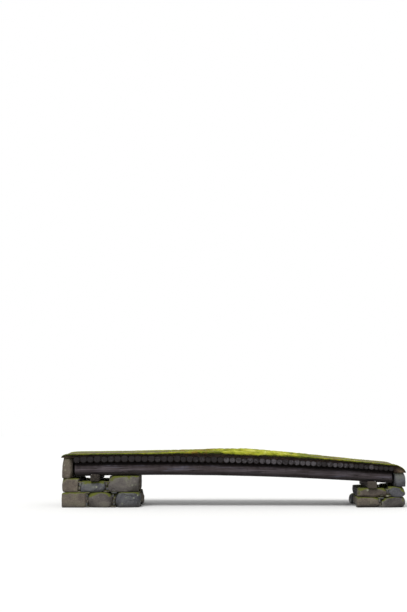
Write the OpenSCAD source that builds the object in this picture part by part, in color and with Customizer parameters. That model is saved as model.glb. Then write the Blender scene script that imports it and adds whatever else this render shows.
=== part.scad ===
// Earth-covered log bridge for a garden pond. Two bowed girder logs stand on
// sill timbers over dry rubble abutments. Round poles lie across the girders,
// and carry a bed of packed earth, a gravel path and a mossy bank on each edge.
// X runs along the bridge, Y across it and Z up. The origin is the middle of
// the footprint, at the level where the abutments stand.

/* [Span] */
// Length of the deck from one end of the earth bed to the other
deck_len = 7600; // [6300:100:9200]
// Height of the girders' upper face, if they ran on to the left end of the deck
seat_left = 961; // [800:5:1160]
// Height of the girders' upper face, if they ran on to the right end of the deck
seat_right = 766; // [700:5:1000]
// Rise of the bowed deck above the straight line between its ends
camber = 104; // [40:2:240]

/* [Girders] */
// Distance between the centre lines of the two girders
girder_spacing = 1000; // [800:10:1200]
// How far each girder stops short of the deck's end
girder_setback = 300; // [240:10:380]
// Radius of a girder at its butt end
girder_butt_r = 157; // [125:1:180]
// Radius of a girder at its thin end
girder_tip_r = 145; // [100:1:150]
// Depth hewn off the top of a girder to seat the poles
hewn_depth = 14; // [10:1:24]
// Sideways bow of a girder log
girder_bow = 12; // [0:1:25]

/* [Poles] */
// Length of the cross poles
pole_len = 1500; // [1250:10:1800]
// Mean radius of the poles at the left end of the deck
pole_r_left = 76; // [58:1:84]
// Mean radius of the poles at the right end of the deck
pole_r_right = 53; // [46:1:72]
// Most that one pole's radius differs from the mean
pole_r_scatter = 3.5; // [0:0.5:5]
// Difference between the radii at the two ends of a pole
pole_taper = 5; // [0:0.5:8]
// Most that a pole's end stands proud or short
pole_end_scatter = 14; // [0:1:25]
// Smallest gap between neighbouring poles
pole_gap_min = 1; // [0.6:0.1:3]
// How far the row of poles runs on past the girders' ends
pole_overrun = 20; // [0:1:40]

/* [Earth bed] */
// How far the earth stops short of the poles' ends
bed_inset = 30; // [15:1:60]
// Thickness of the bed over the poles near the ends of the deck
bed_cover = 16; // [12:1:50]
// How much thicker the bed is where the deck is built up
bed_crown = 31; // [0:1:60]
// Thickness of the bed where it runs out over the end stones
bed_toe = 42; // [30:1:70]

/* [Mossy banks and path] */
// Width of a mossy bank
moss_width = 325; // [250:5:390]
// How far a bank hangs out over the bed's side
moss_overhang = 52; // [30:1:80]
// Height of the banks towards the left end of the deck
moss_h_left = 30; // [20:1:110]
// Height of the banks towards the right end of the deck
moss_h_right = 22; // [20:1:130]
// How much higher the banks are where the deck is built up
moss_crown = 83; // [0:1:110]
// Share of a bank's height that the path's edges reach
path_share = 0.4; // [0.3:0.05:0.7]
// Rise of the path's middle above its edges
path_camber = 10; // [0:1:30]
// Where the built-up crown stands, measured from the middle of the deck
crown_x = 350; // [-800:50:800]
// Half-length of the built-up crown
crown_run = 1700; // [800:50:2000]

/* [Sills] */
// Width of a sill timber along the bridge
sill_width = 200; // [160:5:240]
// Height of a sill timber
sill_h = 150; // [120:5:180]
// Length of a sill timber
sill_len = 1500; // [1250:10:1800]
// Width of the worn edges of a sill timber
sill_chamfer = 18; // [5:1:30]
// Distance from a sill's middle to the deck's end
sill_inset = 750; // [650:10:850]
// Depth adzed off a girder's belly where it bears on a sill
bearing_cut = 20; // [12:1:30]

/* [Abutment stones] */
// Width of the abutments at their base
abutment_width = 1520; // [1300:10:1820]
// How much the width is drawn in from the base course to the next
batter = 40; // [0:5:60]
// Distance from the deck's end to the joints between the bank's stones and the sill's
back_row = 520; // [440:10:620]
// Depth of the stones under a sill
bearing_row = 600; // [500:10:720]
// Depth of the stones at the water's edge on the left bank
toe_row = 680; // [560:10:820]
// Height of the base course on the left bank
base_h_left = 330; // [260:5:390]
// Height of the base course on the right bank
base_h_right = 225; // [180:5:270]
// Most that a joint is shifted, so that it doesn't stand over the one below
joint_shift = 110; // [60:5:130]
// Most that a stone stands back from the face of the abutment
face_scatter = 34; // [0:2:50]
// Height of the left bank's end stones above the girders' upper face
end_rise_left = 118; // [-60:2:130]
// Height of the right bank's end stones above the girders' upper face
end_rise_right = -20; // [-60:2:130]
// Most that a stone's outline is worn back, as a share of its size
stone_wear = 0.06; // [0.03:0.01:0.14]
// Open joint between neighbouring stones
stone_joint = 8; // [4:1:20]

/* [Hidden] */
// Clearance at a bedded face that isn't level.
seat_gap = 0.3;
half = deck_len / 2;
girder_end = half - girder_setback;
row_end = girder_end + pole_overrun;
left = -1;
right = 1;
front = -1;
back = 1;
both = [-1, 1];

// A bell curve: 1 at the built-up crown and near 0 at the ends of the deck.
function crown(x) = exp(-pow((x - crown_x) / crown_run, 2));

// Height of the girders' hewn upper face at x, and its slope.
function seat_z(x) = (seat_left + seat_right) / 2
    + (seat_right - seat_left) / 2 * x / half
    + camber * (1 - pow(x / half, 2));
function seat_slope(x) = (seat_right - seat_left) / 2 / half
    - 2 * camber * x / pow(half, 2);

// Evenly spaced values from a to b, with n steps.
function steps(a, b, n) = [for (i = [0:n]) a + (b - a) * i / n];

// The same values in rising order.
function sorted(v) = len(v) <= 1 ? v :
    let (pivot = v[0])
        concat(
            sorted([for (x = v) if (x < pivot) x]),
            [pivot],
            sorted([for (x = v) if (x > pivot) x])
        );

// Skins a list of rings that have equal point counts. Each ring goes
// anticlockwise as seen from the last one.
module skin(rings) {
    n = len(rings[0]);
    last = len(rings) - 1;
    points = [for (ring = rings) each ring];
    walls = [
        for (i = [0:last - 1], j = [0:n - 1])
            let (k = (j + 1) % n, a = i * n, b = (i + 1) * n)
                each [[a + j, b + j, b + k], [a + j, b + k, a + k]]
    ];
    first_cap = [for (j = [0:n - 1]) j];
    last_cap = [for (j = [n - 1:-1:0]) last * n + j];
    polyhedron(points, concat([first_cap], walls, [last_cap]));
}

// Girders: two bowed, tapering logs with their butts at opposite ends. Their
// tops are hewn flat for the poles and their bellies are cut for the sills.
girder_sides = 20;
girder_steps = 26;
bow_turn = 150;
bow_phase = 40;
// Half-step in x between the rings on either side of a bearing cut's shoulder.
shoulder = 0.5;
bearing_clear = 6;

function girder_r(x, side) =
    girder_tip_r + (girder_butt_r - girder_tip_r) * (1 + side * x / girder_end) / 2;
function girder_y(x, side) =
    side * girder_spacing / 2 + girder_bow * sin(bow_turn * x / girder_end + bow_phase * side);
function belly_z(x, side) = seat_z(x) - 2 * girder_r(x, side) + hewn_depth;
function high_belly(x) = max(belly_z(x, front), belly_z(x, back));
function low_belly(x) = min(belly_z(x, front), belly_z(x, back));
function sill_x(end) = end * (half - sill_inset);
function sill_top(end) = round(high_belly(sill_x(end)) + bearing_cut);
bearing_half = sill_width / 2 + bearing_clear;
// Lowest height that a girder reaches at x: the sill's top over a sill, else nothing.
function bearing_floor(x) =
    let (over = [for (end = both) if (abs(x - sill_x(end)) < bearing_half) sill_top(end)])
        len(over) > 0 ? over[0] : 0;
shoulders = [
    for (end = both, edge = both, lip = [-shoulder, shoulder])
        sill_x(end) + edge * (bearing_half + lip)
];
girder_stations = sorted(concat(steps(-girder_end, girder_end, girder_steps), shoulders));

function girder_ring(x, side) =
    let (r = girder_r(x, side), axis_z = belly_z(x, side) + r)
    [
        for (k = [0:girder_sides - 1])
            let (a = 360 * k / girder_sides)
                [
                    x,
                    girder_y(x, side) + r * cos(a),
                    max(min(axis_z + r * sin(a), seat_z(x)), bearing_floor(x))
                ]
    ];

module girder(side) {
    color("dimgray")
        skin([for (x = girder_stations) girder_ring(x, side)]);
}

// Cross poles: round, slightly tapered logs, laid butt and tip turn about so
// that the row stays straight. They grow thinner towards the right bank.
pole_groups = 8;
radius_seed = 31;
front_seed = 47;
back_seed = 53;

pole_count = floor(2 * row_end / (pole_r_left + pole_r_right + pole_gap_min));
radius_scatter = rands(-pole_r_scatter, pole_r_scatter, pole_count, radius_seed);
front_scatter = rands(-pole_end_scatter, pole_end_scatter, pole_count, front_seed);
back_scatter = rands(-pole_end_scatter, pole_end_scatter, pole_count, back_seed);
pole_r = [
    for (i = [0:pole_count - 1])
        pole_r_left + (pole_r_right - pole_r_left) * i / (pole_count - 1) + radius_scatter[i]
];
function total(v, i = 0) = i < len(v) ? v[i] + total(v, i + 1) : 0;
// What the poles leave of the row's length is shared out between them.
pole_gap = max(pole_gap_min, 2 * (row_end - total(pole_r)) / (pole_count - 1));
pole_x = [
    for (
        i = 0, x = -row_end + pole_r[0];
        i < pole_count;
        x = x + pole_r[i] + pole_r[min(i + 1, pole_count - 1)] + pole_gap, i = i + 1
    ) x
];
function turn(i) = i % 2 == 0 ? 1 : -1;
function front_r(i) = pole_r[i] - turn(i) * pole_taper / 2;
function back_r(i) = pole_r[i] + turn(i) * pole_taper / 2;
// Height of a round log's underside at x when it rests on the sloping seat.
function rest_z(x, r) = seat_z(x) + r * (sqrt(1 + pow(seat_slope(x), 2)) - 1) + seat_gap;

module pole(i) {
    y0 = -pole_len / 2 + front_scatter[i];
    length = pole_len + back_scatter[i] - front_scatter[i];
    r1 = front_r(i);
    r2 = back_r(i);
    translate([pole_x[i], y0, rest_z(pole_x[i], max(r1, r2))])
        rotate([atan((r2 - r1) / length), 0, 0])
            translate([0, 0, r1])
                rotate([-90, 0, 0])
                    cylinder(h = length, r1 = r1, r2 = r2, $fn = 32);
}

module pole_group(g) {
    first = floor(g * pole_count / pole_groups);
    last = floor((g + 1) * pole_count / pole_groups) - 1;
    color("gray")
        for (i = [first:last]) pole(i);
}

// Earth bed: packed over the poles and down between them, with its ends on
// the end stones of the two banks.
bed_steps = 38;
ramp_steps = 5;
end_clear = 12;
bed_width = pole_len - 2 * bed_inset;
// The end stones and the run-out of the bed start this far from the middle.
bed_end = row_end + end_clear;
deck_stations = concat(
    steps(-half, -bed_end, ramp_steps),
    [for (i = [1:bed_steps - 1]) -bed_end + 2 * bed_end * i / bed_steps],
    steps(bed_end, half, ramp_steps)
);
// Mean pole radius at x.
function row_r(x) = (pole_r_left + pole_r_right) / 2 + (pole_r_right - pole_r_left) / 2 * x / row_end;
// The earth reaches down between the poles to this height.
function valley_z(x) = seat_z(x) + 1.5 * row_r(x);
function end_stone_top(end) =
    round(seat_z(end * (half + bed_end) / 2) + (end < 0 ? end_rise_left : end_rise_right));
function deck_top(x) =
    seat_z(x) + 2 * (row_r(x) + pole_r_scatter) + bed_cover + bed_crown * crown(x);
// Top of the bed: over the poles, then rounded over to the toe on the end stones.
function bed_top(x) =
    let (end = x < 0 ? left : right, run = max(0, abs(x) - bed_end) / (half - bed_end))
        run == 0 ? deck_top(x) :
        let (from = deck_top(end * bed_end), to = end_stone_top(end) + bed_toe)
            from + (to - from) * (1 - cos(90 * run));

module bed_outline() {
    underside = [for (i = [len(deck_stations) - 1 - ramp_steps:-1:ramp_steps]) deck_stations[i]];
    polygon(concat(
        [for (x = deck_stations) [x, bed_top(x)]],
        [for (x = [half, bed_end]) [x, end_stone_top(right) + seat_gap]],
        [for (x = underside) [x, valley_z(x)]],
        [for (x = [-bed_end, -half]) [x, end_stone_top(left) + seat_gap]]
    ));
}

module earth_bed() {
    color("saddlebrown")
        rotate([90, 0, 0])
            linear_extrude(height = bed_width, center = true)
                difference() {
                    bed_outline();
                    for (i = [0:pole_count - 1])
                        let (r = max(front_r(i), back_r(i)))
                            translate([pole_x[i], rest_z(pole_x[i], r) + r])
                                circle(r = r + seat_gap, $fn = 48);
                }
}

// Mossy banks: two long mounds on the bed's edges that swell and sink, and
// thin out at the ends of the deck.
moss_sides = 14;
mound_power = 0.75;
mound_gap = 4;
thin_run = 420;
thin_left = 0.5;
thin_right = 0.86;
slow_wave = 0.19;
quick_wave = 0.47;
wave_phase = 60;
swell_share = 0.06;

bank_y = bed_width / 2 + moss_overhang - moss_width / 2;
path_half = bank_y - moss_width / 2 - mound_gap;
function swell(x, side) =
    sin(slow_wave * x + wave_phase * side) + 0.6 * sin(quick_wave * x - wave_phase * side);
function run_out(x) =
    let (t = max(0, (abs(x) - half + thin_run) / thin_run))
        sqrt(1 - (x < 0 ? thin_left : thin_right) * t * t);
function mound_h(x) =
    (moss_h_left + (moss_h_right - moss_h_left) * (x / deck_len + 0.5) + moss_crown * crown(x))
        * run_out(x);
function bank_ring(x, side) =
    let (h = mound_h(x) * (1 + swell_share * swell(x, side)))
    [
        for (k = [0:moss_sides - 1])
            let (a = 180 * k / (moss_sides - 1), c = cos(a), s = sin(a))
                [
                    x,
                    side * bank_y + moss_width / 2 * sign(c) * pow(abs(c), mound_power),
                    bed_top(x) + seat_gap + h * pow(abs(s), mound_power)
                ]
    ];

module moss_bank(side) {
    color("olivedrab")
        skin([for (x = deck_stations) bank_ring(x, side)]);
}

// Gravel path: fills the bed between the banks, a little higher in the middle.
path_sides = 8;
function path_ring(x) =
    let (floor_z = bed_top(x) + seat_gap, edge_z = floor_z + path_share * mound_h(x))
    concat(
        [
            for (t = steps(1, -1, path_sides - 1))
                [x, t * path_half, edge_z + path_camber * (1 - t * t) * run_out(x)]
        ],
        [for (side = both) [x, side * path_half, floor_z]]
    );

module gravel_path() {
    color("tan")
        skin([for (x = deck_stations) path_ring(x)]);
}

// Sill timbers: squared baulks with worn edges.
module sill(end) {
    w = sill_width / 2;
    h = sill_h / 2;
    c = sill_chamfer;
    color("dimgray")
        translate([sill_x(end), 0, sill_top(end) - h])
            rotate([90, 0, 0])
                linear_extrude(height = sill_len, center = true)
                    polygon([
                        [c - w, -h], [w - c, -h], [w, c - h], [w, h - c],
                        [w - c, h], [c - w, h], [-w, h - c], [-w, c - h]
                    ]);
}

// Abutment stones: natural blocks with level beds, two courses high and three
// rows wide. Each stands in a cell of its own, and the upper course's joints
// are shifted off the base course's. A row of end stones holds back the earth.
stone_sides = 14;
corner_power = 0.45;
// Heights of a stone's rings, as shares of its height, and how full each ring is.
stone_levels = [0, 0.1, 0.34, 0.66, 0.9, 1];
stone_fullness = [0.93, 0.985, 1, 1, 0.98, 0.92];

module stone(lo, hi, seed) {
    wear = rands(1 - stone_wear, 1, stone_sides * len(stone_levels), seed);
    mid = (lo + hi) / 2;
    reach = (hi - lo) / 2 - [stone_joint, stone_joint, 0] / 2;
    skin([
        for (m = [0:len(stone_levels) - 1]) [
            for (k = [0:stone_sides - 1])
                let (
                    a = 360 * (k + 0.5) / stone_sides,
                    full = stone_fullness[m] * wear[m * stone_sides + k],
                    c = cos(a),
                    s = sin(a)
                )
                    [
                        mid[0] + full * reach[0] * sign(c) * pow(abs(c), corner_power),
                        mid[1] + full * reach[1] * sign(s) * pow(abs(s), corner_power),
                        lo[2] + stone_levels[m] * (hi[2] - lo[2])
                    ]
        ]
    ]);
}

row_names = ["front", "middle", "back"];
course_names = ["base", "upper"];
// Shares of the width where the rows of each course meet, base course first.
row_cuts = [[0, 0.36, 0.67, 1], [0, 0.31, 0.7, 1]];
end_cuts = [0, 0.34, 0.65, 1];
// Shares of the joint shift that each row's joints take, base course first.
row_shifts = [[0.5, 0.2, 0.6], [-1, -0.3, -0.8]];
course_seed = 100;
row_seed = 20;
stone_seed = 4;
end_seed = 505;
bank_clear = 10;
girder_clear = 40;
bearing_far = back_row + bearing_row;
toe_far = bearing_far + toe_row;
end_width = abutment_width - 2 * batter;
function base_h(end) = end < 0 ? base_h_left : base_h_right;
function bearing_top(end) = sill_top(end) - sill_h;
function back_top(end) = round(low_belly(end * girder_end)) - girder_clear;
// Distances from the deck's end of the joints in a row, from the bank to the water.
function row_joints(end, course, row) =
    let (shift = joint_shift * row_shifts[course][row], joints = [bank_clear, back_row + shift])
        end < 0 ?
            concat(joints, [bearing_far + shift, toe_far - course * batter]) :
            concat(joints, [bearing_far - course * batter]);
// The upper toe stones come up under the lower girder, at the lowest point of
// its belly over any of them.
toe_start = bearing_far + joint_shift * min(row_shifts[1]) - half;
toe_top = min([for (x = steps(toe_start, toe_far - half, 12)) low_belly(x)]) - seat_gap;
function stone_top(end, course, i) =
    course == 0 ? base_h(end) : [back_top(end), bearing_top(end), toe_top][i];

// One row of a course: the bank's stone, the sill's and, on the left bank, the toe.
module row_stones(end, course, row) {
    joints = row_joints(end, course, row);
    width = abutment_width - course * batter;
    cuts = row_cuts[course];
    last = len(joints) - 2;
    color("slategray")
        for (i = [0:last])
            let (
                seed = course_seed * (course + 1) + row_seed * row + stone_seed * i + end,
                set_back = rands(0, face_scatter, 2, seed),
                near = joints[i],
                far = joints[i + 1] - (i == last ? set_back[0] : 0),
                x = end < 0 ? [near - half, far - half] : [half - far, half - near],
                y = [
                    width * (cuts[row] - 0.5) + (row == 0 ? set_back[1] : 0),
                    width * (cuts[row + 1] - 0.5) - (row == 2 ? set_back[1] : 0)
                ]
            )
                stone(
                    [x[0], y[0], course == 0 ? 0 : base_h(end)],
                    [x[1], y[1], stone_top(end, course, i)],
                    seed
                );
}

module end_stones(end) {
    x = end < 0 ? [bank_clear - half, -bed_end] : [bed_end, half - bank_clear];
    color("slategray")
        for (i = [0:len(end_cuts) - 2])
            stone(
                [x[0], end_width * (end_cuts[i] - 0.5), back_top(end)],
                [x[1], end_width * (end_cuts[i + 1] - 0.5), end_stone_top(end)],
                end_seed + stone_seed * i + end
            );
}

function numbered(name, count) = [for (i = [1:count]) str(name, "_", i)];

girder(front);  // girder_front
girder(back);  // girder_back
sill(left);  // sill_left
sill(right);  // sill_right
for (g = [0:pole_groups - 1])
    pole_group(g);
earth_bed();
gravel_path();
moss_bank(front);  // moss_bank_front
moss_bank(back);  // moss_bank_back
for (end = both) {
    bank = end < 0 ? "left" : "right";
    for (course = [0:1], row = [0:2])
        row_stones(end, course, row);
    end_stones(end);
}
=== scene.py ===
"""An earth-covered log bridge for a garden: stones, timbers, poles, earth, gravel and moss, in metres."""
import math

import bpy
import numpy as np
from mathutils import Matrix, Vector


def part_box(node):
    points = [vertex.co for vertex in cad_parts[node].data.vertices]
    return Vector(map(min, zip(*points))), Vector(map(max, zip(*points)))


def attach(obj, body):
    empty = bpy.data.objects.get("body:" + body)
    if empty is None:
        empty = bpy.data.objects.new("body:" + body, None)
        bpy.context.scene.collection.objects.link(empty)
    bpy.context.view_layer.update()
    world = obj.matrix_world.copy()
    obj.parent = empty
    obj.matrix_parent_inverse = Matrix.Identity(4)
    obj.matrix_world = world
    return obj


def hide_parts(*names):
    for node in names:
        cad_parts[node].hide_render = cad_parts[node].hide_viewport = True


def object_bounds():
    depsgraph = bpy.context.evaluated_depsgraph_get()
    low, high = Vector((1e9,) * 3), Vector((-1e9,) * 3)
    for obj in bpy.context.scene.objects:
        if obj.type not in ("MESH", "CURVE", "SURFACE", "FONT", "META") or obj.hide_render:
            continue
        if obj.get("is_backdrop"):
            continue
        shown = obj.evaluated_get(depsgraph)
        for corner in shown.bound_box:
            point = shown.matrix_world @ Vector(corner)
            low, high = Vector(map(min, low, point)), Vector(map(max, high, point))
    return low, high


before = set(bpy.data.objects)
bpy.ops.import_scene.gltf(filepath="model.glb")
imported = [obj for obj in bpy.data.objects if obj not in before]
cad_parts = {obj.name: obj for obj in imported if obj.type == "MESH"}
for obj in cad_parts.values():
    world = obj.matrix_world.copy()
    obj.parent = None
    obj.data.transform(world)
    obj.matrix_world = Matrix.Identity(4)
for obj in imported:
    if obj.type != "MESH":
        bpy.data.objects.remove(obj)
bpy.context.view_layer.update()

# Abutment stones
# Field stones and split blocks, laid dry in two courses with shifted joints and filled with rubble. Their
# beds are level, their faces are as the rock broke, and small chinks are wedged in where edges leave a gap.
stone_grid = (36, 60)
chink_grid = (8, 12)
stone_roughness = 0.020
chink_roughness = 0.006
stone_breaks = 13
stone_sharpness = 24
face_tilt = 0.07
widest_joint = 0.06
shortest_joint = 0.1
lowest_joint = 0.05
seen_depth = 0.12
chink_pitch = 0.07
chink_half = 0.036
chink_margins = (0.08, 0.07)
flat_chink_margins = (0.02, 0.018)
fill_inset = (0.1, 0.1, 0.012)
fill_drop = 0.03


def srgb(red, green, blue):
    """A colour written 0 to 255 as the eye sees it, turned to light: ((c + 0.055) / 1.055) ^ 2.4 of its share c."""
    share = np.array([red, green, blue]) / 255
    return (*((share + 0.055) / 1.055) ** 2.4, 1.0)


def soft_noise(points, size, seed):
    """Smooth random heights from -1 to 1. Each corner of a lattice of cubes of that size has a random
    height, and a point blends its cube's eight corners with weights eased as 3t^2 - 2t^3."""
    scaled = np.asarray(points) / size
    cell = np.floor(scaled).astype(np.int64)
    t = scaled - cell
    t = t * t * (3 - 2 * t)
    height = np.zeros(scaled.shape[:-1])
    for corner in np.ndindex(2, 2, 2):
        code = (cell + corner) @ np.array([73856093, 19349663, 83492791]) + seed * 40503
        code = ((code ^ (code >> 13)) * 1274126177) & 0xFFFFFFFF
        code = ((code ^ (code >> 16)) * 668265263) & 0xFFFFFFFF
        height += np.prod(np.where(corner, t, 1 - t), axis=-1) * ((code >> 8 & 0xFFFF) / 32767.5 - 1)
    return height


def layered_noise(points, size, seed, layers=4):
    """A sum of soft noises, each half as wide and half as high as the one before, brought back to -1 to 1."""
    total = sum(soft_noise(points, size / 2**k, seed + k) / 2**k for k in range(layers))
    return total / (2 - 2.0 ** (1 - layers))


def wear(points, size, seed, layers=4):
    """Layered noise from 0 to 1, for what is worn or broken off."""
    return 0.5 + 0.5 * layered_noise(points, size, seed, layers)


def points_at(x, y, z):
    """Points from their three coordinates, stretched to one grid where some are the same along it."""
    return np.stack(np.broadcast_arrays(x, y, z), -1)


def once_round(columns):
    """Evenly spaced angles from 0 to a full turn, as one row."""
    return np.linspace(0, 2 * np.pi, columns, endpoint=False)[None, :]


def unit_ball(levels, columns):
    """Rings of points on a ball of radius 1, at heights that are given as angles: (cos u cos v, sin u cos v,
    sin v) for u once round and v over the levels."""
    u, v = once_round(columns), levels[:, None]
    return points_at(np.cos(u) * np.cos(v), np.sin(u) * np.cos(v), np.sin(v))


def tube(rings):
    """A closed skin over rings of points, each anticlockwise as seen from the next: a quad between
    every two neighbours in two neighbouring rings, and a fan to the middle of the first and last ring."""
    rows, columns = rings.shape[:2]
    j = np.arange(columns)
    k = (j + 1) % columns
    base = np.arange(rows - 1)[:, None] * columns
    quads = np.stack([base + j, base + k, base + columns + k, base + columns + j], axis=-1).reshape(-1, 4)
    points = np.concatenate([rings.reshape(-1, 3), rings[0].mean(0)[None], rings[-1].mean(0)[None]])
    first = np.full(columns, rows * columns)
    top = (rows - 1) * columns
    fans = np.concatenate([np.stack([first, k, j], -1), np.stack([first + 1, top + j, top + k], -1)])
    return points, [quads, fans]


def with_ends(values):
    """Values on a tube's rings as one list, with the means of the first and last ring for the two middles."""
    flat = values.reshape(-1, *values.shape[2:])
    return np.concatenate([flat, values[0].mean(0)[None], values[-1].mean(0)[None]])


def joined(skins):
    """Several skins as one: their points one after the other, and their faces counted on to match."""
    starts = np.cumsum([0] + [len(points) for points, _ in skins[:-1]])
    faces = [part + start for start, (_, parts) in zip(starts, skins) for part in parts]
    return np.concatenate([points for points, _ in skins]), faces


def piece(name, skin, material, slot, nodes=(), **attributes):
    """One smooth mesh object from a skin, with an attribute for each named array of values at its points.
    It rides on the bridge's body and stands for the CAD nodes that are named."""
    points, faces = skin
    corners = np.concatenate([part.ravel() for part in faces])
    sizes = np.concatenate([np.full(len(part), part.shape[1]) for part in faces])
    mesh = bpy.data.meshes.new(name)
    mesh.vertices.add(len(points))
    mesh.vertices.foreach_set("co", points.astype(np.float32).ravel())
    mesh.loops.add(len(corners))
    mesh.loops.foreach_set("vertex_index", corners.astype(np.int32))
    mesh.polygons.add(len(sizes))
    mesh.polygons.foreach_set("loop_start", np.concatenate([[0], np.cumsum(sizes)[:-1]]).astype(np.int32))
    mesh.polygons.foreach_set("use_smooth", np.ones(len(sizes), bool))
    mesh.update(calc_edges=True)
    for title, values in attributes.items():
        form, field = ("FLOAT_VECTOR", "vector") if values.ndim == 2 else ("FLOAT", "value")
        mesh.attributes.new(title, form, "POINT").data.foreach_set(field, values.astype(np.float32).ravel())
    mesh.materials.append(material)
    made = bpy.data.objects.new(name, mesh)
    bpy.context.scene.collection.objects.link(made)
    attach(made, "root")
    if nodes:
        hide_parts(*nodes)
    return made


class Finish:
    """A material built up from shader nodes. Each call adds a node or a few and gives back an output."""

    def __init__(self, name, **constants):
        """A new material, with each constant on the main shader's own socket of that name."""
        self.material = bpy.data.materials.new(name)
        self.material.use_nodes = True
        self.tree = self.material.node_tree
        self.shader = self.tree.nodes["Principled BSDF"]
        for socket, value in constants.items():
            self.shader.inputs[socket.replace("_", " ")].default_value = value

    def node(self, kind, inputs, output=0, **settings):
        """A node with its inputs linked or filled in, and its settings made."""
        made = self.tree.nodes.new("ShaderNode" + kind)
        for name, value in settings.items():
            setattr(made, name, value)
        for socket, value in inputs.items():
            if isinstance(value, bpy.types.NodeSocket):
                self.tree.links.new(made.inputs[socket], value)
            else:
                made.inputs[socket].default_value = value
        return made.outputs[output]

    def place(self):
        """The point on the bridge, in metres."""
        return self.node("TexCoord", {}, "Object")

    def value(self, name):
        """A number that the mesh carries at its points."""
        return self.node("Attribute", {}, "Fac", attribute_name=name)

    def vector(self, name):
        """A vector that the mesh carries at its points."""
        return self.node("Attribute", {}, "Vector", attribute_name=name)

    def axis(self, vector, name):
        """One of a vector's X, Y and Z."""
        return self.node("SeparateXYZ", {"Vector": vector}, name)

    def upward(self):
        """How far the surface looks up: 1 on a level top, 0 on a wall, -1 underneath."""
        return self.axis(self.node("NewGeometry", {}, "Normal"), "Z")

    def stretch(self, vector, scale):
        """The vector times a scale for each axis. A small one draws a pattern out along that axis."""
        return self.node("Mapping", {"Vector": vector, "Scale": scale})

    def noise(self, vector, scale, detail=4.0, roughness=0.55, distortion=0.0):
        """Cloudy noise from 0 to 1, about 0.5 in the middle."""
        made = {"Vector": vector, "Scale": scale, "Detail": detail, "Roughness": roughness}
        return self.node("TexNoise", {**made, "Distortion": distortion})

    def maths(self, operation, first, second=0.0):
        """One sum on one or two numbers."""
        return self.node("Math", {0: first, 1: second}, operation=operation)

    def plus(self, first, second):
        """first + second."""
        return self.maths("ADD", first, second)

    def minus(self, first, second):
        """first - second."""
        return self.maths("SUBTRACT", first, second)

    def times(self, first, second):
        """first * second."""
        return self.maths("MULTIPLY", first, second)

    def vein(self, noise, outer, inner, most=1.0):
        """Thin lines where a noise crosses its middle: 0 where |noise - 0.5| is over outer, most under inner."""
        return self.window(self.maths("ABSOLUTE", self.minus(noise, 0.5)), outer, inner, 0.0, most)

    def window(self, value, low, high, start=0.0, end=1.0):
        """An eased step from start, where the value is at low, to end, where it is at high."""
        spans = {"Value": value, "From Min": low, "From Max": high, "To Min": start, "To Max": end}
        return self.node("MapRange", spans, interpolation_type="SMOOTHSTEP")

    def mix(self, share, low, high):
        """low * (1 - share) + high * share, of colours or of numbers."""
        return self.node("MixRGB", {"Fac": share, "Color1": low, "Color2": high})

    def ramp(self, share, *stops):
        """Colours along a scale, from stops of a position and a colour."""
        made = self.node("ValToRGB", {"Fac": share})
        band = made.node.color_ramp
        while len(band.elements) < len(stops):
            band.elements.new(0.5)
        for element, (position, colour) in zip(band.elements, stops):
            element.position = position
            element.color = colour
        return made

    def finish(self, colour, roughness, height, depth):
        """The material, with its colour, its roughness, and a relief of that height times the depth."""
        bump = self.node("Bump", {"Height": height, "Distance": depth, "Strength": 1.0}, "Normal")
        for socket, value in {"Base Color": colour, "Roughness": roughness, "Normal": bump}.items():
            if isinstance(value, bpy.types.NodeSocket):
                self.tree.links.new(self.shader.inputs[socket], value)
            else:
                self.shader.inputs[socket].default_value = value
        return self.material


def loose_parts(name):
    """The points of each separate solid in a CAD node. Every point starts with its own number, and every
    triangle hands its least number to its three corners until nothing changes."""
    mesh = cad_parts[name].data
    points = np.zeros(len(mesh.vertices) * 3)
    mesh.vertices.foreach_get("co", points)
    points, which = np.unique(np.round(points.reshape(-1, 3), 6), axis=0, return_inverse=True)
    corners = np.zeros(len(mesh.loops), np.int32)
    mesh.loops.foreach_get("vertex_index", corners)
    corners = which.ravel()[corners].reshape(-1, 3)
    number = np.arange(len(points))
    while True:
        least = number.copy()
        np.minimum.at(least, corners.ravel(), np.repeat(number[corners].min(1), 3))
        least = least[least]
        if (least == number).all():
            return [points[number == part] for part in np.unique(number)]
        number = least


def split_stone(low, high, seed, grid, roughness):
    """A block cut by planes, in a cube of half-width 1 that is then drawn out to its real size. In each
    direction it ends at a soft least of the planes' distances: (sum of (cos / distance)^n)^(-1/n).
    Two planes are its level beds, four its faces, and the rest are breaks across its edges."""
    draw = np.random.default_rng(seed)
    tilt = draw.uniform(-face_tilt, face_tilt, (4, 3))
    faces = np.array([[1, 0, 0], [-1, 0, 0], [0, 1, 0], [0, -1, 0]]) + tilt
    turn = draw.uniform(0, 2 * np.pi, stone_breaks)
    breaks = np.stack([np.cos(turn), np.sin(turn), draw.uniform(-0.9, 0.9, stone_breaks)], -1)
    normals = np.concatenate([[[0, 0, 1], [0, 0, -1]], faces, breaks])
    normals = normals / np.linalg.norm(normals, axis=1, keepdims=True)
    distance = np.concatenate([[1, 1], draw.uniform(0.97, 1.0, 4), draw.uniform(1.1, 1.4, stone_breaks)])
    way = unit_ball(np.radians(np.linspace(-87, 87, grid[0])), grid[1])
    reach = (np.maximum(way @ normals.T, 0) / distance) ** stone_sharpness
    rings = way * (reach.sum(-1) ** (-1 / stone_sharpness))[..., None]
    middle, half = (high + low) / 2, (high - low) / 2
    rings = rings * half
    bulge = wear(rings + seed, 0.3, seed, 2)
    worn = wear(rings + seed, 0.09, seed + 3)
    outward = rings / np.linalg.norm(rings, axis=-1, keepdims=True) * (1, 1, 0.22)
    return middle + rings - outward * ((0.6 * bulge + 0.4 * worn) * roughness)[..., None]


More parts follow.
